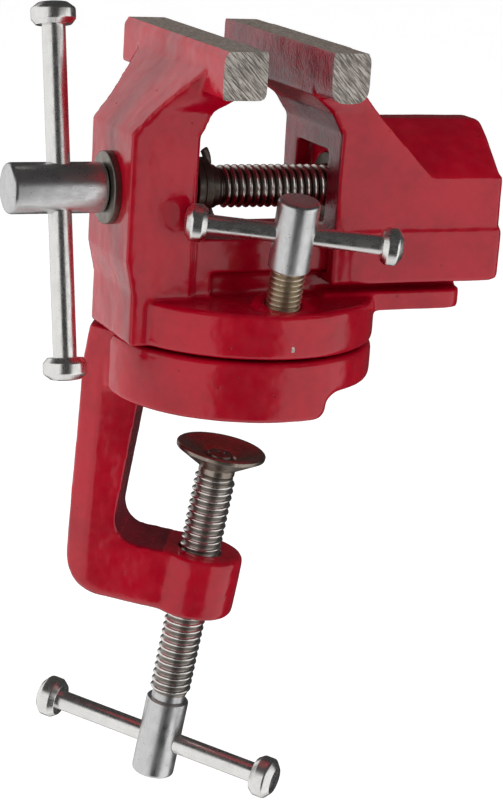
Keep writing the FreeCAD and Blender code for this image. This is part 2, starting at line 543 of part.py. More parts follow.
# ---- moving jaw casting: jaw, slotted box over the rail and nut wall ----
def make_moving_jaw():
    box = block("Box", "box_inner", "box_end", "box_half", "box_bottom", "box_side_top")

    def box_edges(edge, middle, heading):
        on_end = near(middle.x, value_of("box_end"))
        return on_end and (abs(heading.z) > 0.9 or near(middle.z, value_of("box_bottom")))
    box_round = rounded("RoundedBox", box, "box_round", box_edges)
    band = block("Band", "box_inner + box_round", "box_end + band_proud", "box_half + band_proud",
                 "box_bottom + band_proud", "band_height")
    band_round = rounded("RoundedBand", band, "box_round",
                         lambda e, m, h: abs(h.z) > 0.9 and near(m.x, value_of("box_end + band_proud")))
    roof_points = [("-box_half", "box_side_top"), ("box_half", "box_side_top"),
                   ("box_top_half + 2", "box_side_top + box_half - box_top_half - 2"),
                   ("box_top_half - 2", "box_top"), ("2 - box_top_half", "box_top"),
                   ("-box_top_half - 2", "box_side_top + box_half - box_top_half - 2")]
    roof_outline = outline("RoofOutline", roof_points, ("box_inner", "0", "0"), ON_YZ)
    sharp_roof = extrusion("Roof", roof_outline, X_AXIS, "box_end - box_inner")
    roof = rounded("RoundedRoof", sharp_roof, "roof_round",
                   lambda e, m, h: near(m.x, value_of("box_end")) and m.z > value_of("box_side_top") + 0.1)

    lean = "(box_end - box_inner) * 0.6 / (slope_top - box_side_top)"
    low = "box_side_top + 0.4 * (slope_top - box_side_top)"
    mid = "box_side_top + 0.6 * (slope_top - box_side_top)"

    def back(z):
        return f"{MOVING_BACK} + ({lean}) * (slope_top - ({z}))"
    flare = loft("MovingFlare", [
        level("MovingFoot", "box_side_top - 0.01", "box_inner", "box_half", back("box_side_top"), "box_half"),
        level("MovingLow", low, "box_inner", "box_half + 0.3", back(low), "box_half"),
        level("MovingMiddle", mid, f"box_inner - 0.3 * (box_inner - ({MOVING_FACE}))",
              "box_half + 0.2 * (jaw_half - box_half)", back(mid), "box_half + 0.1 * (jaw_half - box_half)"),
        level("MovingJawFoot", JAW_BOTTOM, MOVING_FACE, "jaw_half", back(JAW_BOTTOM),
              "box_half + 0.5 * (jaw_half - box_half)"),
        level("MovingTop", "slope_top", MOVING_FACE, "jaw_half", MOVING_BACK, "jaw_half")])
    jaw = block("MovingJawBar", MOVING_FACE, MOVING_BACK, "jaw_half", JAW_BOTTOM, "jaw_top")
    jaw_round = rounded("RoundedMovingJaw", jaw, "jaw_corner",
                        lambda e, m, h: abs(h.y) > 0.9 and near(m.z, value_of(JAW_BOTTOM)))
    whole = fuse("MovingCasting", [box_round, band_round, roof, flare, jaw_round])
    start = f"box_inner - {OVERRUN}"
    end = f"box_end + band_proud + {OVERRUN}"
    wall_start = "box_inner + nut_wall_start"
    wall_end = "box_inner + nut_wall_start + nut_length - nut_flange"
    tools = [
        block("HeadChannel", start, end, "rail_head_half + slide_clearance",
              "rail_head_bottom - slide_clearance", "rail_top + slide_clearance"),
        block("WebChannel", start, end, "rail_web_half + slide_clearance",
              f"box_bottom - {OVERRUN}", "rail_head_bottom"),
        block("Window", start, wall_start, "core_half", "core_bottom", "window_top"),
        block("Passage", wall_end, "box_end - box_wall", "core_half", "core_bottom", "core_top"),
        cylinder("NutHole", "nut_radius", "box_half", (start, "0", "screw_height"), TO_X),
        cylinder("EndHole", "core_hole_radius", "2 * box_wall",
                 ("box_end - 1.5 * box_wall", "0", "screw_height"), TO_X),
    ]
    node(cut("MovingJaw", whole, tools), "moving_jaw")

    sleeve = cylinder("NutSleeve", "nut_radius", "nut_length - nut_flange",
                      (wall_start, "0", "screw_height"), TO_X)
    flange = cylinder("NutFlange", "core_top - screw_height - face_gap", "nut_flange",
                      (wall_end, "0", "screw_height"), TO_X)
    bore = cylinder("NutBore", "screw_radius + running_clearance", "2 * nut_length",
                    (start, "0", "screw_height"), TO_X)
    flat_band = "core_bottom + face_gap"
    trimmed = block("NutFlangeTrim", wall_end, f"{wall_end} + nut_flange", "core_half",
                    f"{flat_band} - 5", flat_band)
    node(cut("JawNut", fuse("NutSolid", [sleeve, flange]), [bore, trimmed]), "jaw_nut")


# ---- a screw along its own Z axis: head with a cross hole, then the shank or thread ----
def make_screw(label, frame, head_radius, head_length, dome, hole_at, hole_radius, sections, holes=()):
    head = cylinder(label + "Head", head_radius, head_length)
    solid = rounded(label + "Dome", head, dome, lambda e, m, h: is_circle(e, head_radius))
    parts = [solid] + [cylinder(f"{label}Section{i}", radius, length, ("0", "0", start))
                       for i, (radius, start, length) in enumerate(sections)]
    cross = cylinder(label + "CrossHole", hole_radius, f"4 * ({head_radius})",
                     (f"-2 * ({head_radius})", "0", hole_at), TO_X)
    return node(cut(label, fuse(label + "Solid", parts), [cross] + list(holes)), label, frame)


# ---- a bar along its own X axis with a knob pressed on each end ----
def make_bar(label, frame, radius, half, knob_radius, knob_length):
    reach = f"{half} + {knob_length} / 2 - knob_seat"
    bar = cylinder(label + "Rod", radius, f"2 * ({reach})", (f"-({reach})", "0", "0"), TO_X)
    node(bar, label, frame.multiply(bar.Placement))
    for side, name in ((-1, "knob_a"), (1, "knob_b")):
        start = f"{half} - {knob_length} / 2"
        body = cylinder(f"{label}_{name}Body", knob_radius, knob_length)
        barrel = rounded(f"{label}_{name}Barrel", body, "knob_round",
                         lambda e, m, h: is_circle(e, knob_radius))
        bore = cylinder(f"{label}_{name}Bore", radius, f"{knob_length} - knob_seat + {OVERRUN}",
                        ("0", "0", f"-{OVERRUN}"))
        knob = cut(f"{label}_{name}", barrel, [bore])
        outward = TO_X if side > 0 else TO_X.inverted()
        place = FreeCAD.Placement(V(side * value_of(start), 0, 0), outward)
        node(knob, f"{label}_{name}", frame.multiply(place))


def make_main_screw():
    thread_start = f"{HEAD_END} - screw_shank_end"
    washer_end = f"{HEAD_END} - body_inner + bore_boss_length + face_gap + retaining_washer_thick"
    pin_at = f"{washer_end} + split_pin_radius + face_gap"
    shank = ("screw_radius", "screw_head_length", f"{thread_start} - screw_head_length")
    thread = ("screw_radius", thread_start, "screw_end + screw_shank_end")
    pin_hole = cylinder("SplitPinHole", "split_pin_radius", "4 * screw_radius",
                        ("-2 * screw_radius", "0", pin_at), TO_X)
    make_screw("main_screw", MAIN, "screw_radius + screw_head_step", "screw_head_length", "head_dome",
               "screw_bar_from_end", "main_bar_radius + bar_clearance", [shank, thread], [pin_hole])

    disc = cylinder("ThrustDisc", "thrust_washer_radius", "thrust_washer_thick",
                    ("-body_outer - thrust_washer_thick", "0", "screw_height"), TO_X)
    hole = cylinder("ThrustHole", "screw_radius + 4 * running_clearance", "4 * thrust_washer_thick",
                    ("-body_outer - 2 * thrust_washer_thick", "0", "screw_height"), TO_X)
    node(cut("ThrustWasher", disc, [hole]), "thrust_washer")

    ring = cylinder("RetainingDisc", "retaining_washer_radius", "retaining_washer_thick",
                    ("-body_inner + bore_boss_length + face_gap", "0", "screw_height"), TO_X)
    ring_hole = cylinder("RetainingHole", "screw_radius", "4 * retaining_washer_thick",
                         ("-body_inner + bore_boss_length - retaining_washer_thick", "0", "screw_height"),
                         TO_X)
    node(cut("RetainingWasher", ring, [ring_hole]), "retaining_washer")

    pin_length = "2 * (screw_radius + split_pin_proud)"
    pin = cylinder("SplitPinShank", "split_pin_radius", pin_length)
    eye = doc.addObject("Part::Torus", "SplitPinEye")
    bind(eye, Radius1="split_pin_radius * 1.2", Radius2="split_pin_radius * 0.6")
    put(eye, ("0", "0", f"{pin_length} + split_pin_radius * 0.8"), FreeCAD.Rotation(X_AXIS, 90))
    base = V(value_of(pin_at) - value_of(HEAD_END), 0, value_of("screw_height"))
    start = bar_up.multVec(V(0, 0, -value_of(pin_length) / 2))
    node(fuse("SplitPin", [pin, eye]), "split_pin", FreeCAD.Placement(base + start, bar_up))
    make_bar("main_bar", shifted(MAIN, x=-value_of("main_bar_shift"), z=value_of("screw_bar_from_end")),
             "main_bar_radius", "main_bar_half", "main_knob_radius", "main_knob_length")


def make_lock():
    tip = "(upper_disc_height + seam_gap - shoe_radius * sin(lock_lean) - face_gap) / cos(lock_lean)"
    shoe = cylinder("ShoeBody", "shoe_radius", "shoe_height")
    shoe_round = rounded("ShoeRound", shoe, "shoe_round", lambda e, m, h: is_circle(e, "shoe_radius"))
    node(shoe_round, "lock_shoe", shifted(LOCK, z=-value_of(tip)))
    thread_length = f"{tip} - shoe_height + lock_head_start"
    frame = shifted(LOCK, z=value_of(f"shoe_height - {tip}"), turn=-value_of("lock_bar_turn"))
    head_at = thread_length
    head = cylinder("LockHead", "lock_head_radius", "lock_head_length", ("0", "0", head_at))
    domed = rounded("LockDome", head, "lock_dome", lambda e, m, h: is_circle(e, "lock_head_radius"))
    thread = cylinder("LockThread", "lock_radius", thread_length)
    cross = cylinder("LockCrossHole", "lock_bar_radius + bar_clearance", "4 * lock_head_radius",
                     ("-2 * lock_head_radius", "0", f"{tip} - shoe_height + lock_bar_height"), TO_X)
    node(cut("LockScrew", fuse("LockSolid", [domed, thread]), [cross]), "lock_screw", frame)
    make_bar("lock_bar", shifted(LOCK, z=value_of("lock_bar_height"), turn=-value_of("lock_bar_turn")),
             "lock_bar_radius", "lock_bar_half", "lock_knob_radius", "lock_knob_length")


def make_clamp():
    # the pad: a dished cup on a short neck, drawn along +Z with its rim at the top
    neck = cylinder("PadNeck", "pad_neck_radius", "pad_neck_height")
    taper = cone("PadTaper", "pad_neck_radius", "pad_radius", "pad_height - pad_neck_height - pad_rim",
                 ("0", "0", "pad_neck_height"))
    rim = cylinder("PadRim", "pad_radius", "pad_rim", ("0", "0", "pad_height - pad_rim"))
    dish = cone("PadDish", "pad_dish_floor", "pad_dish_radius", "pad_dish_depth",
                ("0", "0", "pad_height - pad_dish_depth"))
    spigot_hole = cylinder("PadHole", "spigot_radius + running_clearance", "3 * pad_height",
                           ("0", "0", "-pad_height"))
    node(cut("ClampPad", fuse("PadSolid", [neck, taper, rim]), [dish, spigot_hole]), "clamp_pad",
         shifted(CLAMP, z=-value_of("pad_top + pad_height")))

    # the screw, drawn along +Z from the end of its head
    top = "clamp_head_start + clamp_head_length"
    neck_end = "clamp_head_length + clamp_head_start - clamp_thread_end"
    thread_end = f"{top} - pad_top - pad_height - face_gap"
    spigot_end = f"{top} - pad_top - pad_dish_depth + face_gap"
    sections = [("clamp_neck_radius", "clamp_head_length", f"{neck_end} - clamp_head_length"),
                ("clamp_radius", neck_end, f"{thread_end} - ({neck_end})"),
                ("spigot_radius", thread_end, f"{spigot_end} - ({thread_end})"),
                ("peen_radius", spigot_end, "peen_height")]
    frame = shifted(CLAMP, z=-value_of(top), turn=-value_of("clamp_bar_turn"))
    make_screw("clamp_screw", frame, "clamp_head_radius", "clamp_head_length", "clamp_dome",
               f"{top} - clamp_bar_depth", "clamp_bar_radius + bar_clearance", sections)
    bar_frame = shifted(CLAMP, z=-value_of("clamp_bar_depth"), turn=-value_of("clamp_bar_turn"))
    make_bar("clamp_bar", shifted(bar_frame, x=-value_of("clamp_bar_shift")), "clamp_bar_radius",
             "clamp_bar_half", "clamp_knob_radius", "clamp_knob_length")


make_clamp_frame()
make_pivot()
make_fixed_jaw()
make_moving_jaw()
make_main_screw()
make_lock()
make_clamp()
doc.recompute()

for obj in doc.Objects:
    if "Invalid" in obj.State or "Error" in obj.State:
        raise RuntimeError(f"{obj.Name} did not compute: {obj.State}")
for piece in NODES:
    if piece.Shape.isNull() or not piece.Shape.isValid() or not piece.Shape.Solids:
        raise RuntimeError(f"{piece.Label} has no valid solid")

os.makedirs("parts", exist_ok=True)
for piece in NODES:
    piece.Shape.exportStep(f"parts/{piece.Label}.step")
    print(piece.Label, len(piece.Shape.Solids), round(piece.Shape.Volume, 1))
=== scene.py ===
import json
import math

import bmesh
import bpy
import numpy as np
from mathutils import Matrix, Vector


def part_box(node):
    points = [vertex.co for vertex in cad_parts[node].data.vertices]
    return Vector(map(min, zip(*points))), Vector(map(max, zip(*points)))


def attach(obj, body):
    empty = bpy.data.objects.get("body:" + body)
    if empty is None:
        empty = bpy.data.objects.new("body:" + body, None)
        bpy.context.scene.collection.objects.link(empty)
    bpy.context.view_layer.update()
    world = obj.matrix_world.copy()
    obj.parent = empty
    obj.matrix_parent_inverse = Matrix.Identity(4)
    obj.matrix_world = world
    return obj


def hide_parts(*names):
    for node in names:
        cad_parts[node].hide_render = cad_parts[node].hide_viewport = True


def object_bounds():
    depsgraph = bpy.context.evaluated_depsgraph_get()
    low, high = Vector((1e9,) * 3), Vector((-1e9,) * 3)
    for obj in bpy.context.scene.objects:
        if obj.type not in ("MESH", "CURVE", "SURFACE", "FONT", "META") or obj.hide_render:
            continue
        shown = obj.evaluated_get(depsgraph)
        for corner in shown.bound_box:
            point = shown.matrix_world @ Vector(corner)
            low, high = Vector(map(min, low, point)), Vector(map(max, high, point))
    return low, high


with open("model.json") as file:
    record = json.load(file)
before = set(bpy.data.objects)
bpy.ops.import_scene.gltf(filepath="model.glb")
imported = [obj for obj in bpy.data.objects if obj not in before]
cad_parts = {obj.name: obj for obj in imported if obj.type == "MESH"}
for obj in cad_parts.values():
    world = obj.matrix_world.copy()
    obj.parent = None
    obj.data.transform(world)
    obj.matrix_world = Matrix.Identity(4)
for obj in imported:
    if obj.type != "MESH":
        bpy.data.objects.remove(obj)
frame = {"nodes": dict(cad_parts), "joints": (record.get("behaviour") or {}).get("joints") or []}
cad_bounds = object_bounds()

# Clamp-on swivel bench vise.  Lengths in this script are millimetres unless a name says otherwise.
MM = 0.001
X_AXIS, Y_AXIS, Z_AXIS = (1, 0, 0), (0, 1, 0), (0, 0, 1)
JOINT = {j["name"]: j for j in frame["joints"]}


def lo(node):
    """Lowest corner of a CAD node's box, in mm."""
    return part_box(node)[0] / MM


def hi(node):
    """Highest corner of a CAD node's box, in mm."""
    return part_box(node)[1] / MM


def rotated(degrees, axis):
    return Matrix.Rotation(math.radians(degrees), 4, axis)


def raised(z):
    return Matrix.Translation((0, 0, z * MM))


def own_axes(origin, z, x):
    """A frame whose Z runs along z and whose X is as near x as it can be; origin in mm."""
    z = Vector(z).normalized()
    x = (Vector(x) - z * z.dot(Vector(x))).normalized()
    y = z.cross(x)
    turn = Matrix((x, y, z)).transposed().to_4x4()
    return Matrix.Translation(Vector(origin) * MM) @ turn


CLAMP = own_axes((0, 0, 0), JOINT["clamp_feed"]["axis"], JOINT["clamp_handle_slide"]["axis"])
LOCK = own_axes(Vector(JOINT["lock_screw_spin"]["pos_m"]) / MM, JOINT["lock_travel"]["axis"],
                JOINT["lock_handle_slide"]["axis"])
SCREW_Z = JOINT["main_screw_spin"]["pos_m"][2] / MM
MAIN = own_axes((lo("main_screw").x, 0, SCREW_Z), X_AXIS, JOINT["main_handle_slide"]["axis"])


# ---------------------------------------------------------------- meshes
def link(name, mesh, at=Matrix.Identity(4)):
    obj = bpy.data.objects.new(name, mesh)
    bpy.context.scene.collection.objects.link(obj)
    obj.matrix_world = at
    return obj


def from_lists(name, verts, faces, at=Matrix.Identity(4)):
    mesh = bpy.data.meshes.new(name)
    mesh.from_pydata([tuple(c * MM for c in v) for v in verts], [], faces)
    mesh.validate()
    mesh.update()
    return link(name, mesh, at)


def rounded_profile(points, steps=5):
    """(r, z, round) corners of a lathe outline -> (r, z) points with each corner rounded."""
    out = []
    for i, (r, z, radius) in enumerate(points):
        here = Vector((r, z))
        if radius <= 0 or i in (0, len(points) - 1):
            out.append((r, z))
            continue
        back = Vector(points[i - 1][:2]) - here
        on = Vector(points[i + 1][:2]) - here
        angle = back.angle(on)
        reach = min(radius / math.tan(angle / 2), back.length * 0.49, on.length * 0.49)
        a, b = here + back.normalized() * reach, here + on.normalized() * reach
        for k in range(steps + 1):
            t = k / steps
            p = a * (1 - t) ** 2 + here * 2 * t * (1 - t) + b * t ** 2
            out.append((p.x, p.y))
    return out


def lathe(name, points, at, segments=72, closed=False):
    """Turn an outline of (r, z, round) about the local Z axis.  A closed outline makes a ring."""
    outline = rounded_profile(points)
    verts, faces, rows = [], [], []
    for r, z in outline:
        if r < 1e-6:
            rows.append([len(verts)])
            verts.append((0, 0, z))
        else:
            rows.append(list(range(len(verts), len(verts) + segments)))
            verts += [(r * math.cos(2 * math.pi * k / segments), r * math.sin(2 * math.pi * k / segments), z)
                      for k in range(segments)]
    pairs = list(zip(rows, rows[1:])) + ([(rows[-1], rows[0])] if closed else [])
    for a, b in pairs:
        for k in range(segments):
            n = (k + 1) % segments
            corners = [a[k % len(a)], a[n % len(a)], b[n % len(b)], b[k % len(b)]]
            face = list(dict.fromkeys(corners))
            if len(face) > 2:
                faces.append(face)
    obj = from_lists(name, verts, faces, at)
    outward(obj)
    return obj


def outward(obj):
    """Turn every face of a closed mesh to face out."""
    bm = bmesh.new()
    bm.from_mesh(obj.data)
    bmesh.ops.recalc_face_normals(bm, faces=bm.faces)
    bm.to_mesh(obj.data)
    bm.free()


def helix(name, at, start, end, radius, pitch, depth, run_in=1.2, segments=48, rows=9):
    """A thread with rounded crests from start to end on local Z, its rows lying along the helix."""
    turns = (end - start) / pitch + 1
    count = int(math.ceil(turns * rows)) + 1
    verts = []
    for k in range(segments):
        for j in range(count):
            z = start + pitch * (j / rows + k / segments - 1)
            z = min(max(z, start), end)
            phase = (j / rows) % 1.0
            crest = (0.5 + 0.5 * math.cos(2 * math.pi * phase)) ** 0.8
            fade = min(1.0, (z - start) / (run_in * pitch), (end - z) / (run_in * pitch))
            r = radius - depth + depth * crest * max(fade, 0.0)
            a = 2 * math.pi * k / segments
            verts.append((r * math.cos(a), r * math.sin(a), z))
    faces = []
    for k in range(segments):
        for j in range(count - 1):
            if k < segments - 1:
                a, b = k * count + j, (k + 1) * count + j
            elif j + rows + 1 < count:
                a, b = k * count + j, j + rows
            else:
                continue
            faces.append((a, b, b + 1, a + 1))
    obj = from_lists(name, verts, faces, at)
    bm = bmesh.new()
    bm.from_mesh(obj.data)
    bmesh.ops.dissolve_degenerate(bm, dist=1e-7, edges=bm.edges)
    bmesh.ops.recalc_face_normals(bm, faces=bm.faces)
    bm.to_mesh(obj.data)
    bm.free()
    return obj


def with_modifiers(obj):
    """Apply the object's modifiers."""
    bpy.context.view_layer.update()
    ready = obj.evaluated_get(bpy.context.evaluated_depsgraph_get())
    mesh = bpy.data.meshes.new_from_object(ready)
    obj.modifiers.clear()
    obj.data = mesh
    return obj


def carve(obj, tool):
    """Cut the tool out of the object."""
    mod = obj.modifiers.new("carve", "BOOLEAN")
    mod.object, mod.operation, mod.solver = tool, "DIFFERENCE", "EXACT"
    with_modifiers(obj)
    bpy.data.objects.remove(tool)
    return obj


def bevelled(obj, width, segments, angle):
    """Round every edge sharper than an angle."""
    mod = obj.modifiers.new("bevel", "BEVEL")
    mod.width, mod.segments, mod.limit_method = width * MM, segments, "ANGLE"
    mod.angle_limit = math.radians(angle)
    return with_modifiers(obj)


def joined(name, parts):
    """One object from several, in the first one's place."""
    at = parts[0].matrix_world.copy()
    bm = bmesh.new()
    for part in parts:
        piece = part.data.copy()
        piece.transform(at.inverted() @ part.matrix_world)
        bm.from_mesh(piece)
        bpy.data.meshes.remove(piece)
    mesh = bpy.data.meshes.new(name)
    bm.to_mesh(mesh)
    bm.free()
    for part in parts:
        bpy.data.objects.remove(part)
    return link(name, mesh, at)


def smooth(obj, angle=40):
    obj.data.polygons.foreach_set("use_smooth", [True] * len(obj.data.polygons))
    obj.data.set_sharp_from_angle(angle=math.radians(angle))
    return obj


def prism(name, outline, y0, y1, at=Matrix.Identity(4)):
    """An outline of (x, z) carried from y0 to y1."""
    n = len(outline)
    verts = [(x, y0, z) for x, z in outline] + [(x, y1, z) for x, z in outline]
    faces = [list(range(n)), list(range(2 * n - 1, n - 1, -1))]
    faces += [(i, i + n, (i + 1) % n + n, (i + 1) % n) for i in range(n)]
    obj = from_lists(name, verts, faces, at)
    outward(obj)
    return obj


# ---------------------------------------------------------------- materials
class Nodes:
    """Shorthand for building one material."""

    def __init__(self, name):
        self.mat = bpy.data.materials.new(name)
        self.mat.use_nodes = True
        self.tree = self.mat.node_tree
        self.tree.nodes.clear()
        self.out = self.add("ShaderNodeOutputMaterial")
        self.bsdf = self.add("ShaderNodeBsdfPrincipled")
        self.join(self.bsdf.outputs[0], self.out.inputs[0])
        self.place = self.add("ShaderNodeTexCoord").outputs["Object"]

    def add(self, kind, **values):
        made = self.tree.nodes.new(kind)
        for key, value in values.items():
            setattr(made, key, value)
        return made

    def join(self, a, b):
        self.tree.links.new(a, b)

    def feed(self, socket, value):
        if hasattr(value, "links"):
            self.join(value, socket)
        else:
            socket.default_value = value

    def stretched(self, scale, turn=(0, 0, 0)):
        """The object's coordinates, turned by degrees and then scaled."""
        turned, scaled = self.add("ShaderNodeMapping"), self.add("ShaderNodeMapping")
        turned.inputs["Rotation"].default_value = [math.radians(t) for t in turn]
        scaled.inputs["Scale"].default_value = scale
        self.join(self.place, turned.inputs[0])
        self.join(turned.outputs[0], scaled.inputs[0])
        return scaled.outputs[0]

    def noise(self, size, detail=3, rough=0.55, at=None, distortion=0.0):
        """Noise whose features are about size mm."""
        made = self.add("ShaderNodeTexNoise")
        self.join(at or self.place, made.inputs["Vector"])
        made.inputs["Scale"].default_value = 1 / (size * MM)
        made.inputs["Detail"].default_value = detail
        made.inputs["Roughness"].default_value = rough
        made.inputs["Distortion"].default_value = distortion
        return made.outputs["Fac"]

    def cells(self, size):
        """Distance to the nearest of scattered points about size mm apart."""
        made = self.add("ShaderNodeTexVoronoi")
        self.join(self.place, made.inputs["Vector"])
        made.inputs["Scale"].default_value = 1 / (size * MM)
        return made.outputs["Distance"]

    def ranged(self, value, a, b, c, d, smooth_ends=False):
        """Map a to b onto c to d."""
        made = self.add("ShaderNodeMapRange")
        if smooth_ends:
            made.interpolation_type = "SMOOTHSTEP"
        self.feed(made.inputs[0], value)
        for i, number in enumerate((a, b, c, d), start=1):
            made.inputs[i].default_value = number
        return made.outputs[0]

    def mix(self, factor, a, b):
        made = self.add("ShaderNodeMix", data_type="RGBA")
        self.feed(made.inputs[0], factor)
        self.feed(made.inputs[6], a)
        self.feed(made.inputs[7], b)
        return made.outputs[2]

    def maths(self, operation, a, b=0.0):
        made = self.add("ShaderNodeMath", operation=operation)
        self.feed(made.inputs[0], a)
        self.feed(made.inputs[1], b)
        return made.outputs[0]

    def bump(self, height, strength, distance, under=None):
        made = self.add("ShaderNodeBump")
        made.inputs["Strength"].default_value = strength
        made.inputs["Distance"].default_value = distance * MM
        self.feed(made.inputs["Height"], height)
        if under is not None:
            self.join(under, made.inputs["Normal"])
        return made.outputs[0]

    def axis_distance(self):
        """Distance from the piece's own Z axis, in metres."""
        split = self.add("ShaderNodeSeparateXYZ")
        self.join(self.place, split.inputs[0])
        x2 = self.maths("MULTIPLY", split.outputs[0], split.outputs[0])
        y2 = self.maths("MULTIPLY", split.outputs[1], split.outputs[1])
        return self.maths("SQRT", self.maths("ADD", x2, y2))

    def finish(self, color, metallic, roughness, normal=None, **plain):
        self.feed(self.bsdf.inputs["Base Color"], color)
        self.feed(self.bsdf.inputs["Metallic"], metallic)
        self.feed(self.bsdf.inputs["Roughness"], roughness)
        if normal is not None:
            self.join(normal, self.bsdf.inputs["Normal"])
        for key, value in plain.items():
            self.bsdf.inputs[key.replace("_", " ")].default_value = value
        return self.mat


def rgb(r, g, b):
    return (r, g, b, 1.0)


def enamel(name, deep, bright, wrinkle=0.0):
    """Thick dipped gloss enamel on rough casting: wavy, a few pits and nibs, darker in hollows as painted
    shade with the enamel pooled there, and lighter on ridges as painted highlight.

    A wrinkled one is thin paint over the raw skin of the casting.
    """
    m = Nodes(name)
    cloud = m.noise(14, 3)
    mottle = m.noise(2.2, 4, 0.6)
    tone = m.ranged(m.maths("ADD", m.maths("MULTIPLY", cloud, 0.65), m.maths("MULTIPLY", mottle, 0.35)),
                    0.36, 0.64, 0.0, 1.0, True)
    color = m.mix(tone, deep, bright)
    hollow = m.add("ShaderNodeNewGeometry").outputs["Pointiness"]
    # Darker in hollows: painted shade, with the enamel pooled there.
    pooled_and_shaded = m.ranged(hollow, 0.42, 0.5, 1.0, 0.0, True)
    color = m.mix(m.maths("MULTIPLY", pooled_and_shaded, 0.6), color, rgb(0.1, 0.0, 0.005))
    # Lighter red on ridges: painted highlight.
    ridge_highlight = m.ranged(hollow, 0.53, 0.6, 0.0, 1.0, True)
    color = m.mix(m.maths("MULTIPLY", ridge_highlight, 0.35), color, rgb(0.42, 0.004, 0.016))
    pits = m.ranged(m.cells(5.2), 0.035, 0.06, 1.0, 0.0)
    color = m.mix(m.maths("MULTIPLY", pits, 0.5), color, rgb(0.06, 0.0, 0.003))
    rough = m.ranged(m.noise(3.5, 4, 0.6), 0.3, 0.7, 0.1, 0.24)
    swell = m.bump(m.noise(6.5, 2, 0.4), 1.0, 0.32)
    peel = m.bump(m.noise(1.15, 2, 0.5), 1.0, 0.022, swell)
    pit_bump = m.bump(m.maths("SUBTRACT", 1.0, pits), 0.6, 0.1, peel)
    if wrinkle:
        skin_depth = m.maths("ADD", m.noise(1.3, 4, 0.65, distortion=0.6), m.noise(0.5, 2, 0.6))
        pit_bump = m.bump(skin_depth, 1.0, wrinkle, pit_bump)
    return m.finish(color, 0.0, rough, pit_bump, IOR=1.5)


def ground(name, dark, light, scale, turn, rough, metal, grit=1.0):
    """Metal dressed on a grinder: long parallel scratches along the turned, stretched axis."""
    m = Nodes(name)
    along = m.stretched(scale, turn)
    coarse = m.noise(0.34, 3, 0.65, along)
    fine = m.noise(0.16, 3, 0.7, along)
    cut = m.maths("ADD", m.maths("MULTIPLY", coarse, 0.6), m.maths("MULTIPLY", fine, 0.4))
    cut = m.ranged(cut, 0.43, 0.57, 0.0, 1.0, True)
    speck = m.ranged(m.noise(0.5, 4, 0.7), 0.35, 0.62, 0.0, 1.0)
    color = m.mix(cut, dark, light)
    color = m.mix(m.maths("MULTIPLY", speck, 0.25), color, dark)
    roughness = m.ranged(cut, 0.0, 1.0, rough + 0.12, rough - 0.06)
    normal = m.bump(cut, 0.9, 0.035 * grit)
    normal = m.bump(m.noise(0.7, 3, 0.6), 0.6, 0.02 * grit, normal)
    return m.finish(color, metal, roughness, normal)


LENGTHWISE = (1, 1, 0.16)
EVEN = (1, 1, 1)
PIT_SPACING = 0.75


def plated(name, color, dull, rough, pit=0.5, along=LENGTHWISE, shade_and_dust=0.35):
    """Bright plating over turned steel: faint lengthwise marks, dull patches, fine dark pits, darker in
    hollows as grime and painted shade.
    """
    m = Nodes(name)
    marks = m.noise(0.5, 4, 0.7, m.stretched(along))
    patch = m.noise(3.0, 4, 0.6)
    tone = m.ranged(m.maths("ADD", m.maths("MULTIPLY", marks, 0.45), m.maths("MULTIPLY", patch, 0.55)),
                    0.38, 0.62, 0.0, 1.0, True)
    base = m.mix(m.maths("MULTIPLY", tone, 0.45), color, dull)
    spots = m.ranged(m.cells(PIT_SPACING), 0.1, 0.2, 1.0, 0.0)
    chosen = m.ranged(m.noise(1.6, 2), 0.5, 0.62, 0.0, 1.0)
    spots = m.maths("MULTIPLY", spots, chosen)
    base = m.mix(m.maths("MULTIPLY", spots, pit), base, rgb(0.05, 0.045, 0.04))
    hollow = m.add("ShaderNodeNewGeometry").outputs["Pointiness"]
    # Darker in hollows: grime, and painted shade.
    grime_and_shade = m.ranged(hollow, 0.42, 0.49, 1.0, 0.0)
    base = m.mix(m.maths("MULTIPLY", grime_and_shade, shade_and_dust), base, rgb(0.06, 0.05, 0.04))
    roughness = m.ranged(tone, 0.0, 1.0, rough - 0.03, rough + 0.1)
    normal = m.bump(marks, 0.6, 0.005)
    normal = m.bump(m.noise(0.5, 3, 0.6), 0.7, 0.008, normal)
    normal = m.bump(m.maths("SUBTRACT", 1.0, spots), 0.6, 0.02, normal)
    return m.finish(base, 1.0, roughness, normal)


def threaded(name, crest, root, r_root, r_crest, rough):
    """Steel thread: bright at the crest radius, dark at the root radius as painted shade in the thread roots,
    with oil.
    """
    m = Nodes(name)
    up = m.ranged(m.axis_distance(), r_root * MM, r_crest * MM, 0.0, 1.0, True)
    grime_and_shade = m.ranged(m.noise(0.9, 4, 0.65), 0.35, 0.65, 0.0, 1.0)
    up = m.maths("MULTIPLY", up, m.ranged(grime_and_shade, 0.0, 1.0, 0.7, 1.0))
    color = m.mix(up, root, crest)
    spots = m.ranged(m.noise(0.45, 3, 0.6), 0.58, 0.7, 0.0, 1.0)
    color = m.mix(m.maths("MULTIPLY", spots, 0.45), color, root)
    roughness = m.ranged(up, 0.0, 1.0, rough + 0.22, rough)
    normal = m.bump(m.noise(0.35, 3, 0.6), 0.7, 0.015)
    return m.finish(color, 1.0, roughness, normal)


RED = enamel("red_enamel", rgb(0.245, 0.0003, 0.0085), rgb(0.32, 0.0006, 0.011))
# Darker red for the inner jaw, throat and mouth faces: thin paint on the rough casting, and painted shade.
RAW_RED_SHADED = enamel("raw_red_shaded_enamel", rgb(0.1, 0.001, 0.008), rgb(0.19, 0.0008, 0.01), 0.1)
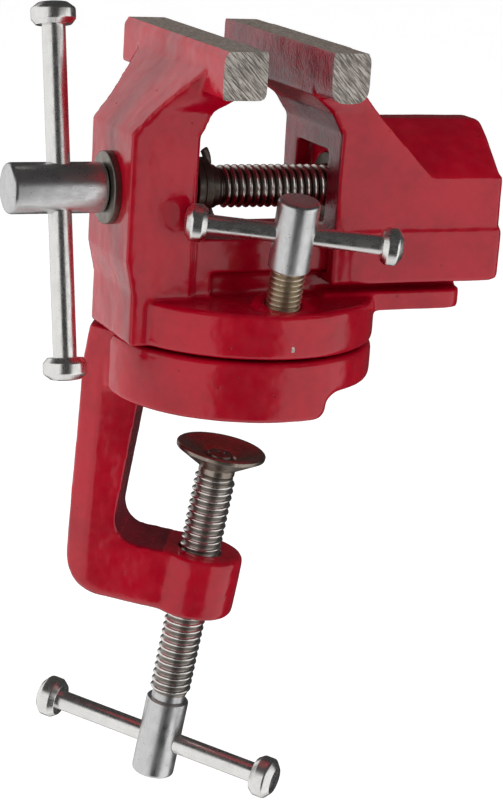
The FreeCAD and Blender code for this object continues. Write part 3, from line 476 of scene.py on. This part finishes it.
# One ground iron, with the top set darker and the ends lighter: painted shade and painted light.
GROUND_TOP = ground("ground_top", rgb(0.2, 0.155, 0.13), rgb(0.4, 0.335, 0.29),
                    scale=(1, 0.16, 1), turn=(0, 0, 0), rough=0.5, metal=0.25)
GROUND_END = ground("ground_end", rgb(0.14, 0.12, 0.105), rgb(0.55, 0.51, 0.46),
                    scale=(1, 1, 0.07), turn=(0, 45, 0), rough=0.42, metal=0.6, grit=1.2)
PLATED = plated("plated_steel", rgb(0.86, 0.85, 0.83), rgb(0.74, 0.73, 0.71), 0.24, pit=0.3, shade_and_dust=0.2)
HEAD = plated("plated_head", rgb(0.68, 0.68, 0.68), rgb(0.56, 0.555, 0.55), 0.3, pit=0.8, shade_and_dust=0.2)
WASHER = plated("washer_steel", rgb(0.26, 0.23, 0.2), rgb(0.15, 0.13, 0.115), 0.34, along=EVEN)
DARK = plated("dark_steel", rgb(0.17, 0.145, 0.125), rgb(0.08, 0.068, 0.058), 0.36, along=EVEN)
IRON = plated("nut_iron", rgb(0.16, 0.14, 0.12), rgb(0.08, 0.07, 0.06), 0.45, along=EVEN)
PAD = plated("pad_steel", rgb(0.4, 0.34, 0.29), rgb(0.15, 0.11, 0.09), 0.3, along=EVEN, pit=0.6)
# Each thread's root colour is painted shade in its roots, with oil.
MAIN_THREAD = threaded("main_thread_steel", rgb(0.9, 0.84, 0.78), rgb(0.035, 0.025, 0.02), 3.95, 4.85, 0.14)
LOCK_THREAD = threaded("lock_thread_steel", rgb(0.86, 0.77, 0.6), rgb(0.42, 0.33, 0.22), 3.3, 3.9, 0.27)
CLAMP_THREAD = threaded("clamp_thread_steel", rgb(0.92, 0.9, 0.87), rgb(0.3, 0.27, 0.24), 3.95, 4.7, 0.2)


def dress(obj, *materials):
    obj.data.materials.clear()
    for m in materials:
        obj.data.materials.append(m)
    return obj


def settle(obj, body, slot, *nodes):
    """Say which body a piece rides and hide the CAD nodes it stands for. The slot is not used."""
    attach(obj, body)
    if nodes:
        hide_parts(*nodes)
    return obj


# ---------------------------------------------------------------- castings
FINEST = 0.5                                # voxel of the castings
FINE = FINEST
PAINT_SLOT, TOP_SLOT, END_SLOT, RAW_SHADED_SLOT = 0, 1, 2, 3
SQUARE_ON = 0.72                            # how nearly a face has to face a direction to count as facing it


def cad_copy(name, node):
    """A free copy of a CAD node's mesh."""
    return link(name, frame["nodes"][node].data.copy())


def as_cast(obj, rounds):
    """Turn a sharp body into a soft, thickly painted casting."""
    dress(obj, RED, GROUND_TOP, GROUND_END, RAW_RED_SHADED)
    mod = obj.modifiers.new("skin", "REMESH")
    mod.mode, mod.voxel_size = "VOXEL", FINE * MM
    mod.use_smooth_shade = True
    soft = obj.modifiers.new("soft", "SMOOTH")
    soft.factor = 0.5
    soft.iterations = int(rounds * (FINEST / FINE) ** 2)
    for label, size, amount in (("sag", 9.0, 0.16), ("lumps", 2.6, 0.05)):
        clouds = bpy.data.textures.new(label, "CLOUDS")
        clouds.noise_scale = size * MM
        clouds.noise_depth = 1
        wave = obj.modifiers.new(label, "DISPLACE")
        wave.texture, wave.texture_coords = clouds, "LOCAL"
        wave.strength, wave.mid_level = amount * MM, 0.5
    return with_modifiers(obj)


def face_off(obj, point, normal, material):
    """Grind the mesh flat: cut it off beyond a plane and close the cut with its own material."""
    bm = bmesh.new()
    bm.from_mesh(obj.data)
    cut = bmesh.ops.bisect_plane(bm, geom=bm.verts[:] + bm.edges[:] + bm.faces[:], dist=1e-7,
                                 plane_co=Vector(point) * MM, plane_no=normal, clear_outer=True)
    rim = [e for e in cut["geom_cut"] if isinstance(e, bmesh.types.BMEdge)]
    made = bmesh.ops.triangle_fill(bm, use_beauty=True, edges=rim, normal=normal)
    for f in made["geom"]:
        if isinstance(f, bmesh.types.BMFace):
            f.material_index = material
            f.smooth = False
    bmesh.ops.recalc_face_normals(bm, faces=bm.faces)
    bm.to_mesh(obj.data)
    bm.free()
    return obj


def crisp_ground(obj):
    """Smooth the casting and keep the ground faces flat, with sharp edges round them."""
    mesh = obj.data
    material = np.zeros(len(mesh.polygons), np.int32)
    mesh.polygons.foreach_get("material_index", material)
    mesh.polygons.foreach_set("use_smooth", (material == PAINT_SLOT) | (material == RAW_SHADED_SLOT))
    bm = bmesh.new()
    bm.from_mesh(mesh)
    for e in bm.edges:
        kinds = {PAINT_SLOT if f.material_index == RAW_SHADED_SLOT else f.material_index for f in e.link_faces}
        if len(kinds) > 1:
            e.smooth = False
    bm.to_mesh(mesh)
    bm.free()
    return obj


def jaw_bar(name, x0, x1, z0, low_a, low_b, top_a, top_b):
    """A jaw's bar from x0 to x1, lower corners rounded and upper ones cut back.

    It stands past the planes that the jaw is ground to.
    """
    above, chamfer = JAW_TOP + OVER, 1.3
    outline = rounded_profile([
        (x0 + top_a, above, 0), (x0 + top_a, JAW_TOP, 0.3), (x0, JAW_TOP - chamfer * top_a, 0.5),
        (x0, z0, low_a), (x1, z0, low_b), (x1, JAW_TOP - chamfer * top_b, 0.5),
        (x1 - top_b, JAW_TOP, 0.3), (x1 - top_b, above, 0)])
    return prism(name, outline, -JAW_HALF - OVER, JAW_HALF + OVER)


def raw_shaded_skin(obj, facing, x_limit):
    """Give the inner jaw and throat faces the darker paint: thin on the rough casting, and painted shade
    where they face into the gap.
    """
    lowest_raw_shaded = 40.0
    for f in obj.data.polygons:
        deep_enough = facing * (f.center.x / MM - x_limit) > 0 and f.center.z / MM > lowest_raw_shaded
        if f.material_index == PAINT_SLOT and f.normal.x * facing > SQUARE_ON and deep_enough:
            f.material_index = RAW_SHADED_SLOT


def finish_jaw(name, parts, facing, raw_shaded_from):
    """Cast the parts as one jaw and grind its ends and top."""
    jaw = as_cast(joined(name, parts), JAW_ROUNDS)
    face_off(jaw, (0, -JAW_HALF, 0), (0, -1, 0), END_SLOT)
    face_off(jaw, (0, JAW_HALF, 0), Y_AXIS, END_SLOT)
    face_off(jaw, (0, 0, JAW_TOP), Z_AXIS, TOP_SLOT)
    raw_shaded_skin(jaw, facing, raw_shaded_from)
    crisp_ground(jaw)
    return jaw


JAW_HALF = hi("fixed_jaw").y
JAW_TOP = hi("fixed_jaw").z
JAW_LOW = JAW_TOP - 10.2
OVER = 2.4          # how far a casting stands past the plane it is ground to
JAW_ROUNDS, CLAMP_ROUNDS = 9, 11            # how often a casting is smoothed

# fixed jaw
fixed_back, fixed_face, fixed_raw_shaded_from = -20.1, -10.2, -17.6
bar = jaw_bar("jaw_bar", fixed_back, fixed_face, JAW_LOW, 0.5, 1.6, 1.1, 0.2)
skin = cad_copy("FixedCasting", "fixed_jaw")
fixed = finish_jaw("fixed_casting", [skin, bar], 1, fixed_raw_shaded_from)
settle(fixed, "vise_base", "red_enamel", "fixed_jaw")

# moving jaw, with the proud parting band round its box
moving_face, moving_back, moving_raw_shaded_from = 4.9, 13.7, 16.6
bar = jaw_bar("moving_bar", moving_face, moving_back, JAW_LOW - 0.6, 3.4, 3.6, 0.2, 0.9)
band_x0, band_x1 = 19.0, hi("moving_jaw").x + 0.3
band_y, band_inner_y, band_thick = 15.5 + 0.55, 10.0, 2.5
band_low, band_high = 28.3, 39.4
plan = rounded_profile([(band_x0, -band_inner_y, 0), (band_x0, -band_y, 1.0), (band_x1, -band_y, 2.6),
                        (band_x1, band_y, 2.6), (band_x0, band_y, 1.0), (band_x0, band_inner_y, 0)])
plan += [(band_x1 - band_thick, band_inner_y), (band_x1 - band_thick, -band_inner_y)]
band = prism("parting_band", plan, band_low, band_high, rotated(90, "X"))
skin = cad_copy("MovingCasting", "moving_jaw")
moving = finish_jaw("moving_casting", [skin, bar, band], -1, moving_raw_shaded_from)
settle(moving, "moving_jaw", "red_enamel", "moving_jaw")

# clamp frame, with a bevel down the outer near edge of its post
CLAMP_TURN = math.radians(28)
POST = own_axes((0, 0, 0), JOINT["clamp_feed"]["axis"], (math.cos(CLAMP_TURN), -math.sin(CLAMP_TURN), 0))
POST_SIDE = -9.0    # near face of the post, in its own frame
POST_OUTER, POST_TAPER, POST_LONG = -35.2, 5.6, 54.8
MOUTH_LOW, MOUTH_HIGH = Vector((-23.5, -9.5, -43)), Vector((-8, 9.5, -1))


def post_wedge(levels, long, deep):
    """A triangular bar along the outer near edge of the post, kinked where the post starts to taper."""
    verts = []
    for z in levels:
        x = POST_OUTER + POST_TAPER * min(max(-z / POST_LONG, 0), 1.1)
        verts += [(x - long, POST_SIDE + 2 * deep, z), (x + 2 * long, POST_SIDE - deep, z),
                  (x - long, POST_SIDE - deep, z)]
    end = len(verts)
    faces = [(0, 1, 2), (end - 1, end - 2, end - 3)]
    for a in range(0, end - 3, 3):
        faces += [(a + i, a + 3 + i, a + 3 + (i + 1) % 3, a + (i + 1) % 3) for i in range(3)]
    wedge = from_lists("post_bevel", verts, faces, POST)
    outward(wedge)
    return wedge


def raw_shaded_mouth(obj):
    """Give the inner faces of the clamp's mouth the darker paint: thin on the rough casting, and painted
    shade inside the mouth.
    """
    to_post = POST.inverted() @ obj.matrix_world
    turn_to_post = to_post.to_3x3()
    for f in obj.data.polygons:
        at, facing = to_post @ f.center / MM, turn_to_post @ f.normal
        in_mouth = all(a < b < c for a, b, c in zip(MOUTH_LOW, at, MOUTH_HIGH))
        if in_mouth and max(facing.x, facing.z) > SQUARE_ON:
            f.material_index = RAW_SHADED_SLOT


wedge = post_wedge(levels=(30, 0, -60), long=4.8, deep=3.4)
clamp = carve(cad_copy("clamp_casting", "clamp_frame"), wedge)
clamp = as_cast(clamp, CLAMP_ROUNDS)
raw_shaded_mouth(clamp)
smooth(clamp, 180)
settle(clamp, "clamp_frame", "red_enamel", "clamp_frame")


# ---------------------------------------------------------------- screws
def cross_drilled(head, at, height, radius):
    """Drill the bar hole along local X and break its edges."""
    far = 20
    tool = lathe("drill", [(0, -far, 0), (radius, -far, 0), (radius, far, 0), (0, far, 0)],
                 at @ raised(height) @ rotated(90, "Y"), 48)
    carve(head, tool)
    return bevelled(head, 0.28, 3, 38)


def turned(name, profile, at, material, body, slot, *nodes, segments=72, angle=40):
    """A turned piece, dressed and settled."""
    piece = lathe(name, profile, at, segments)
    dress(smooth(piece, angle), material)
    return settle(piece, body, slot, *nodes)


def drilled_head(name, profile, at, hole_height, hole_radius, body, slot, node):
    """A screw's head with its bar hole; it stands for the whole CAD screw."""
    head = lathe(name, profile, at, 96)
    smooth(cross_drilled(head, at, hole_height, hole_radius), 30)
    dress(head, HEAD)
    return settle(head, body, slot, node)


def thread_on(name, at, start, end, radius, pitch, depth, material, body, slot, run_in=1.2):
    thread = helix(name, at, start, end, radius, pitch, depth, run_in)
    dress(smooth(thread, 80), material)
    return settle(thread, body, slot)


# main screw: local Z runs from the head's end into the jaw
MAIN_R, MAIN_ROOT, MAIN_HEAD_R, MAIN_BAR_R = 4.9, 4.0, 5.65, 2.6
main_long = hi("main_screw").x - lo("main_screw").x
head_long, bar_at = 22.0, 12.1
thread_from = -8.6 - lo("main_screw").x
drilled_head("main_head", [(0, 0, 0), (MAIN_HEAD_R, 0, 1.3), (MAIN_HEAD_R, head_long, 0.9),
                           (0, head_long, 0)],
             MAIN, bar_at, MAIN_BAR_R + 0.12, "main_screw", "plated_steel", "main_screw")
turned("main_shank", [(0, head_long - 2, 0), (MAIN_R, head_long - 2, 0), (MAIN_R, thread_from, 0.6),
                      (MAIN_ROOT - 0.1, thread_from + 0.9, 0), (0, thread_from + 1.0, 0)],
       MAIN, DARK, "main_screw", "thread_steel")
turned("main_core", [(0, thread_from, 0), (MAIN_ROOT, thread_from, 0), (MAIN_ROOT, main_long - 0.9, 0.4),
                     (3.2, main_long, 0), (0, main_long, 0)],
       MAIN, DARK, "main_screw", "thread_steel")
thread_on("main_thread", MAIN, thread_from, main_long - 0.4, MAIN_R, 1.8, 0.95,
          MAIN_THREAD, "main_screw", "thread_steel")

# lock screw: thread, neck and a tall head, local Z up
LOCK_R, LOCK_ROOT, LOCK_HEAD_R, LOCK_BAR_R = 3.95, 3.25, 4.7, 2.15
lock_low, lock_head_from, lock_head_long, lock_bar_at = -8.0, 9.4, 16.1, 17.4
lock_top = lock_head_from + lock_head_long
drilled_head("lock_head", [(0, lock_head_from, 0), (3.2, lock_head_from, 0),
                           (LOCK_HEAD_R, lock_head_from, 0.45), (LOCK_HEAD_R, lock_top, 1.1),
                           (0, lock_top, 0)],
             LOCK, lock_bar_at, LOCK_BAR_R + 0.1, "lock_screw", "lock_steel", "lock_screw")
turned("lock_core", [(0, lock_low, 0), (LOCK_ROOT, lock_low, 0), (LOCK_ROOT, lock_head_from + 0.5, 0),
                     (0, lock_head_from + 0.5, 0)],
       LOCK, DARK, "lock_screw", "lock_steel")
thread_on("lock_thread", LOCK, lock_low, lock_head_from + 0.05, LOCK_R, 1.25, 0.68,
          LOCK_THREAD, "lock_screw", "lock_steel", run_in=0.4)

# clamp screw: local Z up, so the head hangs at the lower end
CLAMP_R, CLAMP_ROOT, CLAMP_NECK_R, CLAMP_HEAD_R, CLAMP_BAR_R = 4.85, 3.9, 4.0, 5.1, 2.4
clamp_head_top, clamp_head_long, clamp_bar_at = -79.2, 19.4, -89.7
clamp_end = clamp_head_top - clamp_head_long
clamp_neck_top = -77.0
drilled_head("clamp_head", [(0, clamp_end, 0), (CLAMP_HEAD_R, clamp_end, 0.9),
                            (CLAMP_HEAD_R, clamp_head_top, 0.5), (CLAMP_NECK_R, clamp_head_top + 0.25, 0.1),
                            (CLAMP_NECK_R, clamp_neck_top - 0.2, 0.2), (0, clamp_neck_top, 0)],
             CLAMP, clamp_bar_at, CLAMP_BAR_R + 0.08, "clamp_screw", "plated_steel", "clamp_screw")
turned("clamp_core", [(0, clamp_neck_top - 0.5, 0), (CLAMP_ROOT, clamp_neck_top - 0.5, 0),
                      (CLAMP_ROOT, -21.25, 0), (0, -21.25, 0)],
       CLAMP, DARK, "clamp_screw", "plated_steel")
thread_on("clamp_thread", CLAMP, clamp_neck_top - 0.4, -21.3, CLAMP_R, 1.75, 0.9,
          CLAMP_THREAD, "clamp_screw", "plated_steel", run_in=0.5)


# ---------------------------------------------------------------- bars and knobs
def bar_and_knobs(label, body, frame_at, shift, height, radius, half, knob_r, knob_long):
    """A rod along local X with an upset knob on each end, its rod end peened over in the knob."""
    lie = frame_at @ Matrix.Translation((shift * MM, 0, height * MM)) @ rotated(90, "Y")
    reach = half + knob_long / 2 - 0.4
    turned(f"{label}_rod", [(0, -reach, 0), (radius, -reach, 0.3), (radius, -reach + 3, 0),
                            (radius, reach - 3, 0), (radius, reach, 0.3), (0, reach, 0)],
           lie, PLATED, body, "plated_steel", label, segments=64, angle=50)
    inner, outer = half - knob_long / 2, half + knob_long / 2
    points = [(radius * 0.98, inner, 0), (knob_r * 0.8, inner, 0.25), (knob_r, inner + knob_long * 0.24, 0.7),
              (knob_r, outer - knob_long * 0.3, 0.9), (knob_r * 0.66, outer - 0.25, 0.5),
              (knob_r * 0.3, outer, 0.2), (0, outer, 0)]
    for knob, place in ((f"{label}_knob_a", lie @ rotated(180, "X")), (f"{label}_knob_b", lie)):
        turned(f"{knob}_piece", points, place, PLATED, body, "plated_steel", knob, angle=60)


bar_and_knobs("main_bar", "main_handle", MAIN, -0.85, bar_at, MAIN_BAR_R, 38.8, 4.95, 5.1)
bar_and_knobs("lock_bar", "lock_handle", LOCK, 0.0, lock_bar_at, LOCK_BAR_R, 21.6, 4.2, 4.8)
bar_and_knobs("clamp_bar", "clamp_handle", CLAMP, -0.8, clamp_bar_at, CLAMP_BAR_R, 29.2, 4.95, 5.5)


# ---------------------------------------------------------------- washers, pin, pad, pivot
def ring(name, profile, at, segments, angle, material, body, slot, *nodes):
    """A turned ring, its outline closed on itself, dressed and settled."""
    piece = lathe(name, profile, at, segments, closed=True)
    dress(smooth(piece, angle), material)
    return settle(piece, body, slot, *nodes)


AXIS_X = own_axes((0, 0, SCREW_Z), X_AXIS, Z_AXIS)
THRUST_BORE, THRUST_R, THRUST_THICK = 5.2, 8.1, 1.7
outer_face = lo("thrust_washer").x
ring("thrust_ring", [(THRUST_BORE, outer_face, 0.1), (THRUST_R, outer_face, 0.5),
                     (THRUST_R, outer_face + THRUST_THICK, 0.15),
                     (THRUST_BORE, outer_face + THRUST_THICK, 0.1)],
     AXIS_X, 96, 50, WASHER, "vise_base", "washer_steel", "thrust_washer")

# the retaining washer shows a fine groove, as of two laid together
RETAIN_BORE, RETAIN_R, GROOVE_R = 4.6, 6.6, 6.35
inner_face = lo("retaining_washer").x
washer_end = hi("retaining_washer").x
groove = inner_face + 1.6
ring("retaining_ring", [
    (RETAIN_BORE, inner_face, 0.05), (RETAIN_R, inner_face, 0.25), (RETAIN_R, groove, 0.2),
    (GROOVE_R, groove + 0.1, 0.05), (RETAIN_R, groove + 0.2, 0.2), (RETAIN_R, washer_end, 0.35),
    (RETAIN_BORE, washer_end, 0.1)],
     AXIS_X, 72, 50, DARK, "main_screw", "washer_steel", "retaining_washer")


def strip(name, path, wide, half_wide, half_thick, at, sides=16):
    """A flat wire along a list of points, half_wide to each side along the direction wide."""
    verts, faces = [], []
    wide = Vector(wide)
    pts = [Vector(p) for p in path]
    last = len(pts) - 1
    for i, p in enumerate(pts):
        ahead = (pts[min(i + 1, last)] - pts[max(i - 1, 0)]).normalized()
        side = (wide - ahead * ahead.dot(wide)).normalized()
        over = ahead.cross(side)
        drawn_in = 0.6 if i in (0, last) else 1.0
        for s in range(sides):
            a = 2 * math.pi * s / sides
            verts.append(p + (side * math.cos(a) * half_wide + over * math.sin(a) * half_thick) * drawn_in)
    for i in range(last):
        for s in range(sides):
            n = (s + 1) % sides
            faces.append((i * sides + s, i * sides + n, (i + 1) * sides + n, (i + 1) * sides + s))
    faces.append(tuple(range(sides))[::-1])
    faces.append(tuple(range(last * sides, (last + 1) * sides)))
    obj = from_lists(name, verts, faces, at)
    outward(obj)
    return obj


# split pin: a flat leg standing up out of the screw, one bent round its front, a short one below
pin_x = (lo("split_pin").x + hi("split_pin").x) / 2 - lo("main_screw").x
PIN = MAIN @ raised(pin_x) @ rotated(90, "Y")
bend_r = 5.5
standing = [(0.0, 0, 3.0), (0.0, 0, 5.4), (0.1, 0, 6.4), (0.3, 0, 7.3), (0.6, 0, 8.0), (0.75, 0, 8.25),
            (0.85, 0, 8.4)]
below = [(0.0, 0, -3.0), (0.0, 0, -5.2), (-0.3, 0, -6.2), (-0.7, 0, -7.0), (-0.75, 0, -7.2)]
bent = [(0.3, -bend_r * math.cos(math.radians(a)), bend_r * math.sin(math.radians(a)))
        for a in range(84, -50, -8)]
legs = [strip("pin_up", standing, X_AXIS, 1.0, 0.42, PIN), strip("pin_down", below, X_AXIS, 0.8, 0.42, PIN),
        strip("pin_bent", bent, X_AXIS, 0.95, 0.4, PIN)]
pin = joined("split_pin_piece", legs)
dress(smooth(pin, 50), DARK)
settle(pin, "main_screw", "washer_steel", "split_pin")

# clamp pad: a dished disc on a short neck, and the screw's spigot peened over inside it
PAD_R, PAD_BORE, NECK_R = 10.6, 2.45, 4.3
ring("clamp_pad_piece", [
    (PAD_BORE, -21.1, 0), (NECK_R, -21.1, 0.25), (NECK_R, -19.6, 0.3), (PAD_R - 0.1, -15.75, 0.2),
    (PAD_R, -14.95, 0.35), (PAD_R - 0.4, -14.6, 0.3), (9.5, -14.65, 0.25), (6.2, -16.0, 0.4),
    (4.0, -16.9, 0.3), (3.6, -17.3, 0.15), (PAD_BORE, -17.35, 0)],
     CLAMP, 128, 35, PAD, "clamp_pad", "pad_steel", "clamp_pad")
turned("spigot_end", [
    (0, -21.2, 0), (2.4, -21.2, 0), (2.4, -17.3, 0.1), (3.2, -17.15, 0.3), (2.9, -16.1, 0.5),
    (1.2, -15.85, 0.3), (0.8, -16.35, 0.2), (0, -16.4, 0)],
       CLAMP, WASHER, "clamp_screw", "pad_steel", segments=64, angle=35)

# pivot bolt and washers, jaw nut, lock shoe: CAD shapes with their own finishes
for node, finish in (("pivot_bolt", DARK), ("pivot_washer", WASHER), ("pivot_spring_washer", DARK),
                     ("jaw_nut", IRON), ("lock_shoe", IRON)):
    dress(frame["nodes"][node], finish)

# ---------------------------------------------------------------- stage, light, camera
AROUND, ABOVE, ROLL = math.radians(-23.94), math.radians(15.28), math.radians(3.78)
level_back = Vector((math.sin(AROUND), -math.cos(AROUND), 0))
back = level_back * math.cos(ABOVE) + Vector((0, 0, math.sin(ABOVE)))
right = Vector((math.cos(AROUND), math.sin(AROUND), 0))
up = back.cross(right)
cam_x = math.cos(ROLL) * right + math.sin(ROLL) * up
cam_y = -math.sin(ROLL) * right + math.cos(ROLL) * up

FLOOR_HALF, FLOOR_GAP = 3000, 12
m = Nodes("glowing_pale_floor")
tint = m.mix(m.noise(60, 2), rgb(0.88, 0.88, 0.88), rgb(0.92, 0.92, 0.92))
# The floor glows by itself a little: painted light that keeps it white and lights the vise from below.
glowing_pale = m.finish(tint, 0.0, 0.8, Emission_Strength=0.36)
corners = [(x * FLOOR_HALF, y * FLOOR_HALF, 0) for x, y in ((-1, -1), (1, -1), (1, 1), (-1, 1))]
floor = from_lists("floor", corners, [(0, 1, 2, 3)], raised(cad_bounds[0][2] / MM - FLOOR_GAP))
dress(floor, glowing_pale)
floor.visible_glossy = False

# Studio: an even white tent for diffuse light, and for reflections a dark room with lit panels,
# given by their turn from the first view (degrees to the right), height and strength.
PANELS = [
    # turn from, to, height from, to, soft turn, soft height, strength
    (38, 106, -110, 18, 4, 4, 1.0),
    (-152, -17, -110, 34, 4, 8, 0.9),
    (-200, 200, -110, -50, 9, 8, 0.7),
]
world = bpy.data.worlds.new("studio")
bpy.context.scene.world = world
world.use_nodes = True
tree = world.node_tree
tree.nodes.clear()


def sky(kind, **values):
    """Add a node to the world."""
    made = tree.nodes.new(kind)
    for key, value in values.items():
        setattr(made, key, value)
    return made


def sky_maths(operation, a, b=0.0):
    made = sky("ShaderNodeMath", operation=operation)
    for socket, value in zip(made.inputs, (a, b)):
        if hasattr(value, "links"):
            tree.links.new(value, socket)
        else:
            socket.default_value = value
    return made.outputs[0]


def sky_dot(direction):
    """How much the ray's direction lies along another."""
    made = sky("ShaderNodeVectorMath", operation="DOT_PRODUCT")
    tree.links.new(toward, made.inputs[0])
    made.inputs[1].default_value = direction
    return made.outputs["Value"]


def sky_step(value, a, b):
    """Soft step, 0 at a and 1 at b."""
    made = sky("ShaderNodeMapRange", interpolation_type="SMOOTHSTEP")
    tree.links.new(value, made.inputs[0])
    made.inputs[1].default_value, made.inputs[2].default_value = a, b
    return made.outputs[0]


toward = sky("ShaderNodeTexCoord").outputs["Generated"]
in_degrees = math.degrees(1)
sideways = sky_maths("MULTIPLY", sky_maths("ARCTAN2", sky_dot(right), sky_dot(level_back)), in_degrees)
upward = sky_maths("MULTIPLY", sky_maths("ARCSINE", sky_dot(Z_AXIS)), in_degrees)
total = 0.035       # what the dark room itself reflects
for t0, t1, h0, h1, ts, hs, strength in PANELS:
    parts = [sky_step(sideways, t0 - ts, t0 + ts), sky_step(sideways, t1 + ts, t1 - ts),
             sky_step(upward, h0 - hs, h0 + hs), sky_step(upward, h1 + hs, h1 - hs)]
    shape = strength
    for part in parts:
        shape = sky_maths("MULTIPLY", part, shape)
    total = sky_maths("MAXIMUM", shape, total)
tent = sky_maths("ADD", sky_maths("MULTIPLY", sky_step(upward, 70, 5), 0.6), 0.5)
ray = sky("ShaderNodeLightPath")
mirror, tent_light, seen = (sky("ShaderNodeBackground") for _ in range(3))
tree.links.new(total, mirror.inputs[1])
tree.links.new(tent, tent_light.inputs[1])
for shader in (mirror, tent_light, seen):
    shader.inputs[0].default_value = (1, 1, 1, 1)
glossy_or_not, camera_or_not = sky("ShaderNodeMixShader"), sky("ShaderNodeMixShader")
tree.links.new(ray.outputs["Is Glossy Ray"], glossy_or_not.inputs[0])
tree.links.new(tent_light.outputs[0], glossy_or_not.inputs[1])
tree.links.new(mirror.outputs[0], glossy_or_not.inputs[2])
tree.links.new(ray.outputs["Is Camera Ray"], camera_or_not.inputs[0])
tree.links.new(glossy_or_not.outputs[0], camera_or_not.inputs[1])
tree.links.new(seen.outputs[0], camera_or_not.inputs[2])
tree.links.new(camera_or_not.outputs[0], sky("ShaderNodeOutputWorld").inputs[0])


def softbox(name, side, front, high, width, height, power):
    """A soft light that shows in no reflection, placed in metres to the view's right, towards it, and up."""
    aim_at = Vector((0, 0, 0.02))
    data = bpy.data.lights.new(name, "AREA")
    data.shape, data.size, data.size_y, data.energy = "RECTANGLE", width, height, power
    obj = bpy.data.objects.new(name, data)
    bpy.context.scene.collection.objects.link(obj)
    at = right * side + level_back * front + Vector((0, 0, high))
    aim = aim_at - at
    obj.matrix_world = Matrix.Translation(at) @ aim.to_track_quat("-Z", "Y").to_matrix().to_4x4()
    obj.visible_glossy = False


softbox("right_box", 0.55, 0.42, 0.1, 0.22, 0.5, 1.1)
softbox("left_box", -0.75, 0.1, 0.2, 0.3, 0.6, 3.2)

cam = bpy.data.cameras.new("camera")
cam.lens, cam.sensor_width, cam.clip_start = 103.5, 36, 0.01
eye = bpy.data.objects.new("camera", cam)
bpy.context.scene.collection.objects.link(eye)
turn = Matrix((cam_x, cam_y, back)).transposed().to_4x4()
EYE_AT = (-0.20495, -0.47180, 0.13786)     # metres
eye.matrix_world = Matrix.Translation(EYE_AT) @ turn
bpy.context.scene.camera = eye
bpy.context.scene.view_settings.view_transform = "Standard"
